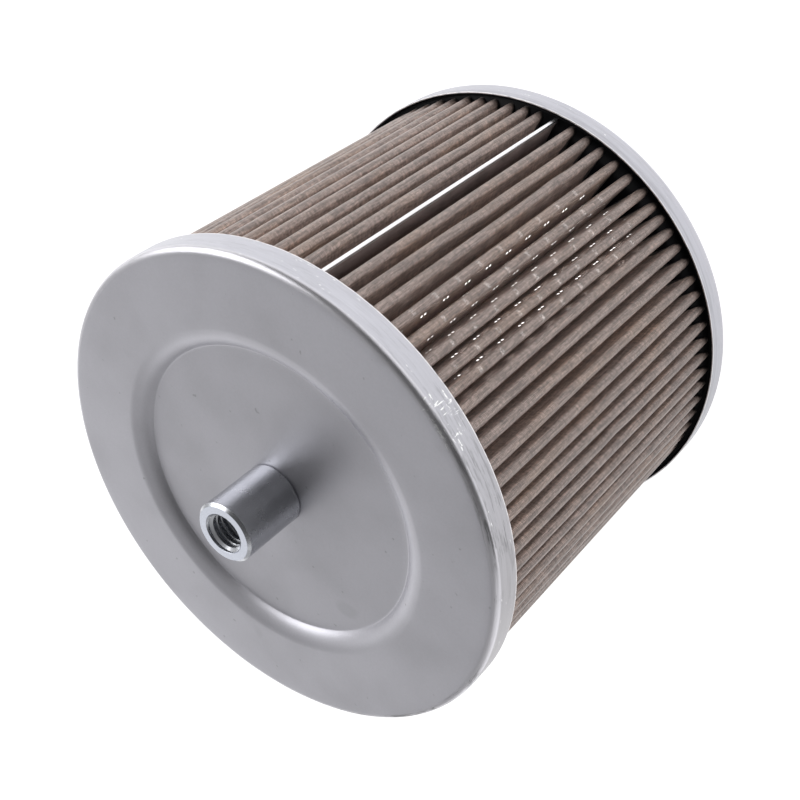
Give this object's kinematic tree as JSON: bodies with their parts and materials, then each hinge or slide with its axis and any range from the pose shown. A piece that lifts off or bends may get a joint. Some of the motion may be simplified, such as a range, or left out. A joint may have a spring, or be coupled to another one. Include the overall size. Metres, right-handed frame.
{
  "type": "hydraulic filter cartridge",
  "caption": "Pleated wire mesh suction filter between two pressed steel caps, with a threaded boss on the closed end and a sealed collar at the open end.",
  "frame": {"origin": "centre of the flat face that the cartridge stands on, at the open end", "axes": "+Z along the cartridge's axis towards the threaded boss, -Y towards the side the picture is taken from"},
  "size_m": [0.15, 0.15, 0.1508],
  "materials": {
    "cap_steel": "satin galvanised sheet with fine grain",
    "zinc_plate": "bright blue-white zinc plate over turned steel",
    "washer_steel": "plain rolled steel",
    "core_steel": "rolled perforated sheet",
    "wire_mesh": "fine woven stainless wire, warm grey",
    "bright_strip": "polished folded strip",
    "potting": "black epoxy potting, soft gloss",
    "nitrile": "black moulded nitrile"
  },
  "bodies": {
    "root": {"top_end_cap": "cap_steel", "threaded_boss": "zinc_plate", "boss_washer": "washer_steel", "core_tube": "core_steel", "pleated_mesh": "wire_mesh", "seam_clip": "bright_strip", "top_potting": "potting", "bottom_potting": "potting", "bottom_end_cap": "cap_steel", "seal_ring": "nitrile"}
  },
  "joints": []
}
